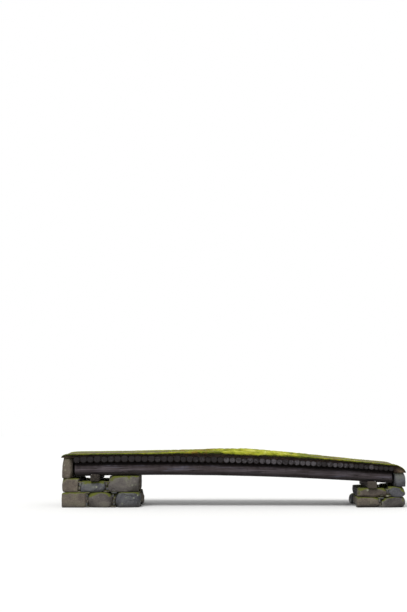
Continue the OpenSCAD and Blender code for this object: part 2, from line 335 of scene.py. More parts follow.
def chink_boxes(boxes, seed):
    """Boxes for small stones in every joint that is open to view. Where two neighbours meet along x or y at
    an outer face, a flat one goes in at the foot and the head of the joint, and rounder ones between them."""
    draw = np.random.default_rng(seed)
    low, high = boxes[:, 0], boxes[:, 1]
    outer = np.array([low.min(0), high.max(0)])
    found = []
    for axis, other in ((0, 1), (1, 0)):
        for first, second in np.argwhere(np.abs(low[None, :, axis] - high[:, None, axis]) < widest_joint):
            start = np.maximum(low[first], low[second])
            stop = np.minimum(high[first], high[second])
            if stop[other] - start[other] < shortest_joint or stop[2] - start[2] < lowest_joint:
                continue
            for edge, inward in ((start[other], 1), (stop[other], -1)):
                if np.abs(outer[:, other] - edge).min() > seen_depth:
                    continue
                lowest, highest = start[2] + chink_margins[0], stop[2] - chink_margins[1]
                between = np.linspace(lowest, highest, max(1, round((highest - lowest) / chink_pitch) + 1))
                foot, head = start[2] + flat_chink_margins[0], stop[2] - flat_chink_margins[1]
                levels = np.concatenate([[foot], between, [head]])
                flat = (levels == levels[0]) | (levels == levels[-1])
                middle = np.zeros((len(levels), 3))
                middle[:, axis] = (start[axis] + stop[axis]) / 2 + draw.uniform(-0.02, 0.02, len(levels))
                middle[:, other] = edge + inward * draw.uniform(0.045, 0.07, len(levels))
                middle[:, 2] = levels + draw.uniform(-0.01, 0.01, len(levels))
                half = draw.uniform(0.8, 1.15, (len(levels), 3)) * chink_half
                half[:, axis] *= np.where(flat, 1.7, 0.75)
                half[:, 2] *= np.where(flat, 0.55, 1.0)
                middle[:, 2] = np.maximum(middle[:, 2], half[:, 2] + 0.001)
                found.append(np.stack([middle - half, middle + half], 1))
    return np.concatenate(found)


def rubble_stone():
    """Mottled rock, each stone between warm brown-grey and blue-grey, with pale lichen rounds, hairline
    cracks, dark feet soaked from below, and thin moss where a face looks up."""
    made = Finish("mottled_rock", Specular_IOR_Level=0.35)
    place = made.place()
    tone = made.value("tone")
    cloud = made.noise(place, 3.4, 5, 0.62, 0.5)
    grain = made.noise(place, 52, 4, 0.72)
    warm = made.ramp(cloud, (0.3, srgb(74, 66, 60)), (0.5, srgb(112, 102, 91)), (0.7, srgb(142, 131, 116)))
    cool = made.ramp(cloud, (0.3, srgb(60, 61, 66)), (0.5, srgb(94, 95, 100)), (0.7, srgb(128, 129, 131)))
    rock = made.mix(made.window(tone, -0.8, 0.8), warm, cool)
    rock = made.mix(made.window(grain, 0.38, 0.68, 0.0, 0.5), rock, srgb(50, 46, 45))
    fleck = made.window(made.noise(place, 120, 2, 0.5), 0.62, 0.72, 0.0, 0.5)
    rock = made.mix(fleck, rock, srgb(168, 164, 156))
    spots = made.node("TexVoronoi", {"Vector": place, "Scale": 9.0, "Randomness": 1.0}, "Distance")
    ragged = made.plus(spots, made.times(made.noise(place, 30, 3), 0.35))
    few = made.window(made.noise(place, 2.1, 2), 0.48, 0.6)
    lichen = made.times(made.window(ragged, 0.44, 0.36), few)
    rock = made.mix(made.times(lichen, 0.8), rock, srgb(160, 164, 142))
    vein = made.noise(made.stretch(place, (1.5, 1.5, 2.6)), 1.0, 3, 0.5, 0.2)
    crack = made.times(made.vein(vein, 0.007, 0.002), made.window(made.noise(place, 1.7, 2), 0.5, 0.6))
    rock = made.mix(made.times(crack, 0.45), rock, srgb(38, 35, 34))
    up = made.upward()
    level = made.axis(place, "Z")
    moist = made.plus(made.times(up, 0.42), made.noise(place, 5.5, 5, 0.75))
    moss = made.window(moist, 0.66, 0.8)
    film = made.window(made.plus(cloud, made.times(up, 0.2)), 0.5, 0.75, 0.0, 0.35)
    colour = made.mix(film, rock, srgb(88, 94, 56))
    colour = made.mix(moss, colour, made.mix(grain, srgb(48, 56, 20), srgb(118, 122, 44)))
    damp = made.window(made.plus(level, made.times(cloud, 0.16)), 0.24, 0.1, 0.0, 0.6)
    colour = made.mix(damp, colour, srgb(42, 39, 34))
    height = made.plus(cloud, made.times(grain, 0.4))
    height = made.minus(height, made.times(crack, 0.5))
    return made.finish(colour, made.window(damp, 0.0, 0.6, 0.9, 0.55), height, 0.025)


stone_finish = rubble_stone()
stone_nodes = sorted(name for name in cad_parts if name.endswith("_stones"))
laid_stones = {name: [(part.min(0), part.max(0)) for part in loose_parts(name)] for name in stone_nodes}
for number, name in enumerate(stone_nodes):
    skins = [
        tube(split_stone(low, high, 40 + 10 * number + place, stone_grid, stone_roughness))
        for place, (low, high) in enumerate(laid_stones[name])
    ]
    shades = [np.full(len(skin[0]), math.sin(2.4 * (3 * number + place) + 1)) for place, skin in enumerate(skins)]
    piece(name + "_rock", joined(skins), stone_finish, "rubble_stone", [name], tone=np.concatenate(shades))
for number, bank in enumerate(("left", "right")):
    boxes = np.array([box for name in stone_nodes if name.startswith(bank) for box in laid_stones[name]])
    chinks = chink_boxes(boxes, 5 + number)
    skins = [
        tube(split_stone(*box, 700 + 300 * number + place, chink_grid, chink_roughness))
        for place, box in enumerate(chinks)
    ]
    tone = np.repeat(np.sin(1.9 * np.arange(len(skins))), len(skins[0][0]))
    piece(bank + "_chinks", joined(skins), stone_finish, "rubble_stone", tone=tone)
    for course in ("base", "upper"):
        names = [name for name in stone_nodes if name.startswith(bank) and course in name]
        laid = np.array([box for name in names for box in laid_stones[name]])
        low, high = laid[:, 0].min(0) + fill_inset, laid[:, 1].max(0) - fill_inset
        high[2] = laid[:, 1, 2].min() - fill_drop
        fill = tube(split_stone(low, high, 31 + number, stone_grid, stone_roughness))
        piece(f"{bank}_{course}_hearting", fill, stone_finish, "rubble_stone", tone=np.full(len(fill[0]), -1.0))

# Sill timbers
# Two squared baulks of heartwood laid across the stones to spread the girders' load. Their
# faces are adzed in shallow scoops, and the corners and the sawn ends have worn soft.
sill_columns = 72
sill_rows = 110
sill_corner = 9
sill_rim = 0.006
sill_wear = 0.004
adze_scoop = 0.09
adze_depth = 0.003
end_steps = np.array([0.12, 0.35, 0.6, 0.82, 0.95])
ring_rate = 1150.0
check_dark = 0.75
log_step = 2.7


def weathered_wood(name, colours, end_colours, silver):
    """Old wood gone grey. Its colour and relief are noises drawn out along the grain, which is the first
    axis of the timber's own "grain" coordinates. On its ends the rings are sines of the ring rate times the
    distance from the heart, split by rays that change with every log step along the grain. Where "split" is
    1 the wood is open and dark. Painted shade, carried by an attribute at its points, makes it nearly black
    just under the poles on a girder's top and on the upper part of a pole's ends, and random stains darken
    it too. Faces that look down are darkened as painted shade, and a pole's tone carries painted shade
    towards the bridge's ends. The silver colour lies in patches, and drips run down across the grain."""
    made = Finish(name, Specular_IOR_Level=0.25)
    place = made.place()
    grain = made.vector("grain")
    streaks = made.noise(made.stretch(grain, (1.6, 34, 34)), 1.0, 6, 0.65, 0.3)
    fibres = made.noise(made.stretch(grain, (7, 330, 330)), 1.0, 3, 0.6)
    patches = made.noise(made.stretch(grain, (1.3, 5, 5)), 1.0, 3, 0.5)
    tone = made.times(made.value("tone"), 0.09)
    blend = made.plus(made.times(streaks, 0.62), made.times(patches, 0.38))
    face = made.ramp(made.plus(blend, tone), *zip((0.32, 0.46, 0.56, 0.7), colours))
    bloom = made.noise(made.stretch(grain, (1.1, 9, 9)), 1.0, 4, 0.6)
    face = made.mix(made.window(bloom, 0.5, 0.64, 0.0, 0.55), face, silver)
    face = made.mix(made.window(fibres, 0.45, 0.7, 0.0, 0.35), face, colours[0])
    drips = made.noise(made.stretch(place, (15, 6, 1.3)), 1.0, 4, 0.6)
    face = made.mix(made.window(drips, 0.56, 0.7, 0.0, 0.4), face, colours[0])
    up = made.upward()
    # Painted shade: faces that look down are darkened toward dark brown.
    face = made.mix(made.window(up, -0.1, -0.8, 0.0, 0.75), face, srgb(34, 29, 28))
    thin = made.noise(made.stretch(grain, (0.9, 24, 24)), 1.0, 2, 0.4)
    hair = made.times(made.vein(thin, 0.016, 0.004), made.window(patches, 0.42, 0.52))
    across = made.stretch(grain, (0, 1, 1))
    ring = made.node("VectorMath", {0: across}, "Value", operation="LENGTH")
    swirl = made.times(made.noise(across, 14, 3), 0.012)
    bands = made.maths("SINE", made.times(made.plus(ring, swirl), ring_rate))
    rays = made.node("VectorMath", {0: across}, operation="NORMALIZE")
    number = made.maths("FLOOR", made.maths("DIVIDE", made.axis(grain, "X"), log_step))
    own = made.node("CombineXYZ", {"X": made.times(number, 3.1)})
    rays = made.node("VectorMath", {0: rays, 1: own}, operation="ADD")
    ray = made.vein(made.noise(rays, 1.9, 2, 0.5), 0.012, 0.004)
    ray = made.times(ray, made.window(ring, 0.004, 0.02))
    worn = made.noise(made.stretch(grain, (3, 22, 22)), 1.0, 4, 0.65)
    end = made.mix(made.window(bands, -1, 1, 0.0, 0.55), end_colours[1], end_colours[0])
    # A pole's tone takes in painted shade towards the bridge's ends, which darkens its end grain here.
    end = made.mix(made.window(made.plus(worn, made.times(tone, 2.2)), 0.3, 0.6), end_colours[0], end)
    end = made.mix(made.window(made.value("rim"), 0.8, 1.0), end, end_colours[2])
    cut = made.value("end")
    colour = made.mix(cut, face, end)
    lines = made.mix(cut, hair, ray)
    gap = made.maths("MAXIMUM", lines, made.value("split"))
    colour = made.mix(made.times(gap, check_dark), colour, srgb(22, 18, 17))
    # Painted shade: the attribute read here blackens the wood just under the poles on a girder and on the tops of
    # the pole ends; the worn noise adds random real stains.
    stain_and_shade = made.plus(made.value("damp"), made.times(made.minus(worn, 0.5), 0.7))
    colour = made.mix(made.window(stain_and_shade, 0.15, 0.6, 0.0, 0.92), colour, srgb(26, 19, 16))
    relief = made.plus(made.times(fibres, 0.3), made.times(streaks, 0.7))
    relief = made.mix(cut, relief, made.plus(made.times(bands, 0.08), worn))
    relief = made.minus(relief, made.times(lines, 0.8))
    return made.finish(colour, made.window(streaks, 0.3, 0.7, 0.95, 0.8), relief, 0.006)


def sill_timber(low, high, seed):
    """A baulk along Y. Its section is a squared round, (|sin/w|^n + |cos/h|^n)^(-1/n), its ends close in
    by the end steps, and scoops |sin| along and across take a little off every face."""
    middle, half = (low + high) / 2, (high - low) / 2
    a = once_round(sill_columns)
    squared = (np.abs(np.sin(a)) / half[0]) ** sill_corner + (np.abs(np.cos(a)) / half[2]) ** sill_corner
    radius = squared ** (-1 / sill_corner)
    inner = np.linspace(-half[1] + sill_rim, half[1] - sill_rim, sill_rows)
    edge = half[1] - sill_rim * np.array([0, 0.02, 0.05, 0.1, 0.4])
    y = np.concatenate([-edge, inner, edge[::-1]])[:, None]
    scale = np.concatenate([end_steps, np.ones(sill_rows), end_steps[::-1]])[:, None]
    x, z = scale * radius * np.sin(a), scale * radius * np.cos(a)
    scoop = np.abs(np.sin(np.pi * y / adze_scoop + 2 * np.sin(3 * a))) * adze_depth
    worn = sill_wear * wear(points_at(x, y, z), 0.12, seed, 3)
    shrink = 1 - (scoop + worn) / radius * np.where(scale == 1, 1, 0)
    level = np.abs(np.cos(a)) > 0.75
    rings = middle + points_at(x * shrink, y, z * np.where(level, 1 - 0.3 * (1 - shrink), shrink))
    return rings, points_at(y, x + 0.06, z + 0.11), scale + 0 * x


sill_finish = weathered_wood(
    "sill_wood",
    (srgb(44, 38, 34), srgb(70, 61, 55), srgb(92, 83, 76), srgb(116, 108, 100)),
    (srgb(44, 39, 35), srgb(86, 79, 71), srgb(50, 45, 41)),
    srgb(104, 100, 98),
)
for number, name in enumerate(("sill_left", "sill_right")):
    low, high = (np.array(corner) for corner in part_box(name))
    rings, grain, scale = sill_timber(low, high, 7 + number)
    cut = with_ends(np.where(scale < 1, 1.0, 0.0))
    piece(
        name + "_baulk", tube(rings), sill_finish, "sill_timber", [name],
        grain=with_ends(grain) + 3 * number, end=cut, rim=with_ends(scale) * 0.5, split=cut * 0,
        tone=cut * 0 + number - 0.5, damp=cut * 0,
    )

# Girders
# Two long bowed logs, barked and laid with their butts at opposite ends. An axe has flattened
# their tops for the poles and notched their bellies over the sills. They have dried, greyed and split.
girder_rows = 410
girder_columns = 66
girder_lumpiness = 0.035
spiral = 0.22
split_half_angle = 0.024
dark_split_depth = 0.008
knot_swell = 0.22
knot_eye = 0.16
knot_reach = 0.14
hewing_chips = 0.0012
damp_depth = 0.09
log_end_steps = np.array([0.1, 0.25, 0.42, 0.6, 0.76, 0.89, 0.965])
log_end_dome = np.array([0.004, 0.004, 0.0035, 0.003, 0.002, 0.0, 0.004])


def node_rings(name):
    """The rings that a CAD node was skinned over: the x of each, and its lowest and highest corner."""
    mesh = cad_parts[name].data
    points = np.zeros(len(mesh.vertices) * 3)
    mesh.vertices.foreach_get("co", points)
    points = points.reshape(-1, 3)
    stations, which = np.unique(np.round(points[:, 0], 5), return_inverse=True)
    low = np.full((len(stations), 3), np.inf)
    high = -low
    np.minimum.at(low, which.ravel(), points)
    np.maximum.at(high, which.ravel(), points)
    return stations, low, high


def curve(x, y, degree):
    """The smooth polynomial of that degree that lies nearest the given values."""
    return np.polynomial.Polynomial.fit(x, y, degree)


def log_rings(x, a, radius, seed, lumpiness):
    """How far a log's skin is from its heart: its radius, less up to the lumpiness, by noise drawn out
    four times along the log."""
    around = points_at(x / 4, radius * np.cos(a), radius * np.sin(a))
    return radius * (1 - lumpiness * wear(around, 0.09, seed))


def girder_log(name, splits, knots, seed):
    """A log along X from the CAD girder's own centre line, radius, seat and bearing cuts. Columns of
    points follow the spiral grain. Each split is three of them, two lips and a root that is sunk by
    depth * sqrt(sin) along the split. A knot is a bell-shaped swelling with a narrow dip in its middle. Just
    under the seat the wood is marked for painted shade, the shade of the poles that overhang it."""
    x, low, high = node_rings(name)
    centre_y = curve(x, (low[:, 1] + high[:, 1]) / 2, 6)
    thick = curve(x, (high[:, 1] - low[:, 1]) / 2, 1)
    seat = curve(x, high[:, 2], 2)
    free = low[:, 2] - seat(x) + 2 * thick(x)
    hewn = np.median(free)
    cut = free > hewn + 0.002
    end = x.max()
    edges = np.concatenate([x[cut] - 1e-4, x[cut] + 1e-4])
    inner = np.sort(np.concatenate([np.linspace(-end + 0.005, end - 0.005, girder_rows), edges]))
    rows = np.concatenate([-end + log_end_dome, inner, end - log_end_dome[::-1]])[:, None]
    scale = np.concatenate([log_end_steps, np.ones(len(inner)), log_end_steps[::-1]])[:, None]
    lips = np.array([s[0] for s in splits])
    even = once_round(girder_columns)[0]
    clear = np.abs((even[:, None] - lips + np.pi) % (2 * np.pi) - np.pi).min(1) > 1.6 * split_half_angle
    base = np.concatenate([even[clear], lips - split_half_angle, lips, lips + split_half_angle])
    root = np.concatenate([np.zeros(clear.sum() + len(lips)), np.arange(1, len(lips) + 1), np.zeros(len(lips))])
    order = np.argsort(base)
    base, root = base[order][None, :], root[order]
    wander = spiral * np.sin(rows * 0.5 + seed) + 0.03 * np.sin(rows * 2.3 + 2 * seed)
    a = base + wander
    radius = log_rings(rows, a, thick(rows), seed, girder_lumpiness)
    for knot_x, knot_a, size in knots:
        chord = np.sin((base - knot_a) / 2) * 2 * knot_reach
        away = ((rows - knot_x) / size) ** 2 + (chord / size) ** 2
        radius = radius + knot_swell * size * np.exp(-away) - knot_eye * size * np.exp(-6 * away)
    open_by = np.zeros(radius.shape)
    for number, (_, start, stop, depth) in enumerate(splits, 1):
        run = np.clip((rows - start) / (stop - start), 0, 1)
        gape = np.sqrt(np.sin(np.pi * run)) * (0.75 + 0.25 * np.sin(rows * 9 + number))
        open_by = open_by + gape * depth * (root == number)
    y = centre_y(rows) + scale * (radius - open_by) * np.cos(a)
    axis = seat(rows) - thick(rows) + hewn
    z = axis + scale * (radius - open_by) * np.sin(a)
    chips = hewing_chips * (1 + np.sin(rows * 37 + 9 * np.sin(a)))
    z = np.minimum(z, seat(rows) - chips)
    inside = np.interp(rows.ravel(), x, cut.astype(float)) > 0.999
    bearing = np.where(inside, np.interp(rows.ravel(), x[cut], low[cut, 2]), -1)[:, None]
    z = np.maximum(z, bearing)
    rings = points_at(rows, y, z)
    grain = points_at(rows, scale * radius * np.cos(base), scale * radius * np.sin(base))
    # Painted shade: 0 a tenth of a metre under the seat, rising to 1 a centimetre under it, for the shade below the
    # overhanging poles.
    damp = np.clip((z - seat(rows) + 0.1) / damp_depth, 0, 1)
    return rings, grain, scale + 0 * a, np.clip(open_by / dark_split_depth, 0, 1), damp


girder_finish = weathered_wood(
    "girder_wood",
    (srgb(52, 44, 43), srgb(76, 68, 70), srgb(97, 89, 94), srgb(118, 111, 116)),
    (srgb(60, 52, 48), srgb(112, 102, 96), srgb(66, 60, 58)),
    srgb(112, 112, 128),
)
front_splits = [
    (2.66, -3.3, -0.9, 0.016), (3.02, -1.4, 1.1, 0.012), (3.38, 0.2, 2.9, 0.018), (3.86, -2.6, 0.4, 0.014),
    (2.36, 1.2, 3.45, 0.015), (5.2, -1.8, 1.9, 0.016), (0.35, -2.9, -0.2, 0.015), (6.0, 0.4, 3.2, 0.014),
]
back_splits = [
    (0.5, -3.45, -1.2, 0.017), (0.12, -0.8, 2.2, 0.014), (5.9, -2.4, 0.3, 0.015), (5.1, 0.6, 3.3, 0.016),
    (2.75, -1.5, 0.9, 0.013), (3.3, -3.2, -0.6, 0.016), (3.7, 1.0, 3.4, 0.014), (2.3, -0.4, 1.6, 0.012),
]
front_knots = [(-2.45, 3.5, 0.05), (-0.7, 2.8, 0.06), (1.35, 3.3, 0.045), (2.3, 4.1, 0.05), (0.4, 5.6, 0.05)]
back_knots = [(-1.9, 0.2, 0.05), (-0.3, 5.8, 0.045), (1.8, 0.45, 0.06), (2.9, 2.9, 0.05), (-2.7, 3.2, 0.05)]
for name, splits, knots, seed in (
    ("girder_front", front_splits, front_knots, 3),
    ("girder_back", back_splits, back_knots, 8),
):
    rings, grain, scale, open_wood, damp = girder_log(name, splits, knots, seed)
    cut = with_ends(np.where(scale < 0.97, 1.0, 0.0))
    piece(
        name + "_log", tube(rings), girder_finish, "girder_log", [name],
        grain=with_ends(grain) + seed, end=cut, rim=with_ends(scale), split=with_ends(open_wood), tone=cut * 0,
        damp=with_ends(damp),
    )

# Cross poles
# Round poles of coppice wood laid side by side across the girders, butt and tip turn about,
# and held by their own weight and the earth. Their ends have silvered, softened and cracked.
pole_rows = 12
pole_columns = 36
pole_lumpiness = 0.045
pole_wear = 0.011
pole_chips = 0.004
pole_rim = np.array([0.0, 0.0, 0.0004, 0.001, 0.0018, 0.0035, 0.0075])


def pole_ends(points):
    """A pole's front and back: the middle of the points at each end, and half their width."""
    y = points[:, 1]
    front, back = points[y < y.min() + 0.01], points[y > y.max() - 0.01]
    middles = [(part.min(0) + part.max(0)) / 2 for part in (front, back)]
    return *middles, *(np.ptp(part[:, 0]) / 2 for part in (front, back))


def pole_log(front, back, front_r, back_r, seed):
    """A pole from end to end. The ends are domed, their rims worn round unevenly, and the skin dips in
    by noise. The grain runs along the pole. Its upper side is marked for painted shade, which darkens the
    tops of its ends as if under the moss's overhang."""
    a = once_round(pole_columns)
    length = back[1] - front[1]
    rim = pole_rim / length
    inner = np.linspace(pole_wear / length * 1.25, 1 - pole_wear / length * 1.25, pole_rows)
    along = np.concatenate([rim, inner, 1 - rim[::-1]])[:, None]
    scale = np.concatenate([log_end_steps, np.ones(pole_rows), log_end_steps[::-1]])[:, None]
    radius = log_rings(along * length, a, front_r + (back_r - front_r) * along, seed, pole_lumpiness)
    axis = front + (back - front) * along[..., None]
    x = axis[..., 0] + scale * radius * np.sin(a)
    z = axis[..., 2] + scale * radius * np.cos(a)
    around = points_at(scale * np.sin(a), along * 40, scale * np.cos(a))
    chipped = pole_chips * wear(around, 0.5, seed + 5, 3) * np.where(along < 0.5, 1, -1)
    y = axis[..., 1] + chipped * (scale < 1)
    grain = points_at(along * length, scale * radius * np.cos(a), scale * radius * np.sin(a))
    # The last value is painted shade: 0 below 0.35 of the radius above the heart, rising to 0.65 at the top.
    return points_at(x, y, z), grain, scale + 0 * x, np.clip(scale * np.cos(a) - 0.35, 0, 1)


pole_finish = weathered_wood(
    "pole_wood",
    (srgb(40, 35, 35), srgb(58, 53, 54), srgb(74, 69, 72), srgb(92, 88, 92)),
    (srgb(42, 38, 39), srgb(102, 98, 102), srgb(40, 36, 37)),
    srgb(92, 92, 100),
)
pole_facts = []
for group in range(1, 9):
    name = f"poles_{group}"
    skins, grains, scales, tones_and_shade, damps = [], [], [], [], []
    for points in sorted(loose_parts(name), key=lambda part: part[:, 0].mean()):
        ends = pole_ends(points)
        number = len(pole_facts)
        pole_facts.append(ends)
        rings, grain, scale, damp = pole_log(*ends, 100 + number)
        skins.append(tube(rings))
        grains.append(with_ends(grain) + (log_step * number, 0, 0))
        scales.append(with_ends(scale))
        damps.append(with_ends(damp))
        place = ends[0][0]
        shade = 0.7 * math.sin(5.3 * number) + 0.4 * math.sin(1.7 * number)
        # Painted shade: poles left of about x = 0.4 m and right of x = 1.8 m get a lower tone, so their ends are
        # darker.
        shade -= max(0, min(1.8, 0.5 - 1.2 * place)) + max(0, place - 1.8)
        tones_and_shade.append(np.full(len(scales[-1]), shade))
    scale = np.concatenate(scales)
    piece(
        name + "_logs", joined(skins), pole_finish, "pole_log", [name],
        grain=np.concatenate(grains), end=np.where(scale < 0.97, 1.0, 0.0), rim=scale,
        split=scale * 0, tone=np.concatenate(tones_and_shade), damp=np.concatenate(damps),
    )

# Earth bed
# Clayey earth rammed over the poles and down between them, full of small stones and roots.
# Its edges stand open under the moss, dark and damp, and its two ends run out over the end stones.
bed_pitch = 0.0085
bed_side_columns = 8
bed_clods = 0.01
past_last_pole = 0.012
nose_run = 0.08
ragged_run = 0.2
ragged_depth = 0.03
sifted_pitch = 0.006
sifted_across = np.array([0.058, 0.058, 0.045, 0, -0.045, -0.058, -0.058])
sifted_lift = np.array([0, 0.8, 1, 1, 1, 0.8, 0])


def nearest_pole(x, hearts, radii):
    """For each x, which pole lies nearest, and how far its round is from its heart there, up or down:
    sqrt(r^2 - dx^2)."""
    away = np.abs(x[:, None] - hearts[:, 0])
    near = away.argmin(1)
    return near, np.sqrt(np.maximum(radii[near] ** 2 - away.min(1) ** 2, 0))


def bed_floor(x):
    """The underside of the earth: over a pole it follows the pole's round, and between two poles it hangs
    half a radius above their hearts."""
    hearts = np.array([(front + back) / 2 for front, back, _, _ in pole_facts])
    radii = np.array([max(front_r, back_r) for _, _, front_r, back_r in pole_facts])
    near, bow = nearest_pole(x, hearts, radii)
    valley = np.interp(x, hearts[:, 0], hearts[:, 2] + 0.5 * radii)
    return np.maximum(hearts[near, 2] + bow, valley)


def end_floor(x):
    """The tops of the end stones, which carry the two ends of the bed."""
    tops = [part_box(name)[1].z for name in ("left_end_stones", "right_end_stones")]
    return np.where(x < 0, *tops)


def near_end(x, end, run):
    """0 as far as that run before the end, and from there evenly up to 1 at the end."""
    return np.clip((np.abs(x) - end + run) / run, 0, 1)


def bed_level(x):
    """The top of the bed. It is the CAD one, with the two ends worn round: over the nose's run the
    thickness falls as sqrt(1 - (0.97 t)^2)."""
    stations, low, _ = node_rings("moss_bank_front")
    top = np.interp(x, stations, low[:, 2])
    t = near_end(x, stations.max(), nose_run)
    return np.where(t > 0, end_floor(x) + (top - end_floor(x)) * np.sqrt(1 - (0.97 * t) ** 2), top)


def worn_back(rings, end, seed):
    """The rings near the two ends, drawn back by the ragged depth * wear * t^2, where t grows from 0 to 1
    over the ragged run."""
    near = near_end(rings[..., 0], end, ragged_run) ** 2
    moved = rings.copy()
    moved[..., 0] -= np.sign(rings[..., 0]) * near * wear(rings * (0, 1, 1), 0.12, seed) * ragged_depth
    return moved


def packed_earth_bed():
    """A tube along X. Each ring goes over the top, down one side, back under and up the other side, and
    noise pushes the open sides in and out by the size of the clods. A little past the last pole at either
    end the underside steps to the end stones."""
    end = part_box("earth_bed")[1].x
    rows = np.linspace(-end, end, int(2 * end / bed_pitch))
    top = bed_level(rows)
    front, _, front_r, _ = pole_facts[0]
    inner = np.abs(rows) < np.abs(front[0]) + front_r + past_last_pole
    floor = np.where(inner, bed_floor(rows), end_floor(rows))
    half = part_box("earth_bed")[1].y
    side = np.linspace(0, 1, bed_side_columns)
    across = np.repeat([half, -half], bed_side_columns)
    share = np.concatenate([side, 1 - side])
    rings = points_at(rows[:, None], across, floor[:, None] + (top - floor)[:, None] * share)
    push = layered_noise(rings, 0.05, 21, 4) * bed_clods - 0.3 * bed_clods
    fade = np.sin(np.pi * np.clip(share, 0.04, 1)) ** 0.5
    rings[..., 1] += np.sign(across) * push * fade
    return worn_back(rings, end, 25)


def damp_earth():
    """Dark brown earth, crumbly, with paler dry crumbs, small grit and thin pale roots. On the open noses at
    the two ends it is dry and as pale as the gravel's fines."""
    made = Finish("damp_earth", Specular_IOR_Level=0.2)
    place = made.place()
    crumbs = made.noise(place, 38, 5, 0.7)
    cloud = made.noise(place, 4, 3)
    colour = made.ramp(crumbs, (0.3, srgb(24, 18, 16)), (0.5, srgb(44, 34, 29)), (0.7, srgb(72, 58, 48)))
    colour = made.mix(made.window(cloud, 0.4, 0.65, 0.0, 0.5), colour, srgb(30, 24, 24))
    grit = made.node("TexVoronoi", {"Vector": place, "Scale": 60.0}, "Distance")
    colour = made.mix(made.window(grit, 0.16, 0.1, 0.0, 0.6), colour, srgb(110, 100, 90))
    root = made.noise(made.stretch(place, (9, 9, 26)), 1.0, 2, 0.4, 0.8)
    colour = made.mix(made.vein(root, 0.01, 0.003, 0.5), colour, srgb(104, 82, 60))
    away = made.maths("ABSOLUTE", made.axis(place, "X"))
    dry = made.ramp(crumbs, (0.35, srgb(84, 70, 54)), (0.65, srgb(128, 112, 90)))
    colour = made.mix(made.window(away, 3.55, 3.7, 0.0, 0.85), colour, dry)
    return made.finish(colour, 0.95, made.minus(crumbs, grit), 0.01)


def sifted_earth(name):
    """Fine earth that has sifted down between the poles onto a girder's hewn top. It fills the space there up
    to the poles' undersides, heart - sqrt(r^2 - dx^2), and lies a little lower where two poles meet. Being
    dark, it also stands in as painted shade in the gaps under the poles."""
    stations, low, high = node_rings(name)
    middle = curve(stations, (low[:, 1] + high[:, 1]) / 2, 6)
    seat = curve(stations, high[:, 2], 2)
    end = stations.max() - 0.004
    rows = np.linspace(-end, end, int(2 * end / sifted_pitch))
    front, back, _, _ = pole_facts[0]
    share = (middle(0) - front[1]) / (back[1] - front[1])
    hearts = np.array([front + (back - front) * share for front, back, _, _ in pole_facts])
    radii = np.array([front_r + (back_r - front_r) * share for _, _, front_r, back_r in pole_facts])
    near, bow = nearest_pole(rows, hearts, radii)
    top = np.clip(hearts[near, 2] - bow - seat(rows) + 0.001, 0.0012, 0.8 * radii[near])
    z = seat(rows)[:, None] - 0.001 + top[:, None] * sifted_lift
    waver = layered_noise(points_at(rows, 0, 0), 0.05, 29)
    y = middle(rows)[:, None] + sifted_across + 0.008 * waver[:, None]
    return points_at(rows[:, None], y, z)


bed_rings = packed_earth_bed()
earth_finish = damp_earth()
piece("earth_bed_packed", tube(bed_rings), earth_finish, "packed_earth", ["earth_bed"])
sifted = joined([tube(sifted_earth(name)) for name in ("girder_front", "girder_back")])
piece("earth_and_painted_shade_on_girders", sifted, earth_finish, "packed_earth")

# Gravel path
# Pit gravel trodden into the earth between the two banks, hollowed a little along the
# middle, with loose pebbles on it and the banks' moss creeping in over its edges.
path_rows = 620
path_columns = 60
path_camber = 0.12
path_wear = 0.010
path_tread = 0.0042
path_rim = 0.006
pebble_count = 1000
pebble_sides = 7
pebble_levels = np.radians([-55, -5, 40, 72])
pebble_sizes = (0.005, 0.016)


def gravel_surface():
    """A tube along X. Over the width, t from 1 to -1, the top is bed + rise * (1 - camber * t^2), with the
    rise of the CAD path. Noise wears dips in it, the tread wanders along its middle as a bell-shaped hollow,
    and its rims rise as t^6. The underside is flat on the bed."""
    stations, _, high = node_rings("gravel_path")
    _, bank_low, _ = node_rings("moss_bank_front")
    rows = np.linspace(stations.min(), stations.max(), path_rows)[:, None]
    floor = bed_level(rows)
    rise = np.interp(rows, stations, high[:, 2] - bank_low[:, 2])
    half = high[:, 1].max()
    t = np.linspace(1, -1, path_columns)[None, :]
    worn = wear(points_at(rows, half * t, 0), 0.5, 61, 5)
    tread = np.exp(-((t + 0.04 * np.sin(2 * rows)) ** 2) / 0.12)
    top = floor + rise * (1 - path_camber * t * t) - path_wear * worn - path_tread * tread
    top = top + path_rim * np.abs(t) ** 6
    over = points_at(rows, half * t, np.maximum(top, floor + 0.002))
    under = points_at(rows, half * t[:, ::-6], floor)
    rings = worn_back(np.concatenate([over, under], 1), stations.max(), 63)
    return rings, rings[:, :path_columns]


def round_pebbles(surface, count, seed):
    """Loose pebbles: balls of a few rings, flattened, each drawn out, turned and half sunk at a random
    point of the surface. Their sizes lie between the two given, with many more small ones."""
    draw = np.random.default_rng(seed)
    row = draw.integers(2, surface.shape[0] - 3, count)
    column = (draw.beta(0.8, 0.8, count) * (surface.shape[1] - 5) + 2).astype(int)
    spot = surface[row, column] + draw.uniform(-0.006, 0.006, (count, 3)) * (1, 1, 0)
    size = pebble_sizes[0] + np.ptp(pebble_sizes) * draw.random(count) ** 3
    ball = unit_ball(pebble_levels, pebble_sides)
    shape = draw.uniform(0.65, 1.15, (count, 3)) * (1.15, 0.95, 0.6)
    turn = draw.uniform(0, np.pi, count)[:, None, None]
    uneven = draw.uniform(0.88, 1.1, (count, *ball.shape[:2], 1))
    lump = ball[None] * (shape * size[:, None])[:, None, None] * uneven
    x = lump[..., 0] * np.cos(turn) - lump[..., 1] * np.sin(turn)
    y = lump[..., 0] * np.sin(turn) + lump[..., 1] * np.cos(turn)
    rings = points_at(x, y, lump[..., 2] + 0.1 * size[:, None, None]) + spot[:, None, None]
    skins = [tube(one) for one in rings]
    return joined(skins), np.repeat(draw.random(count), len(skins[0][0]))


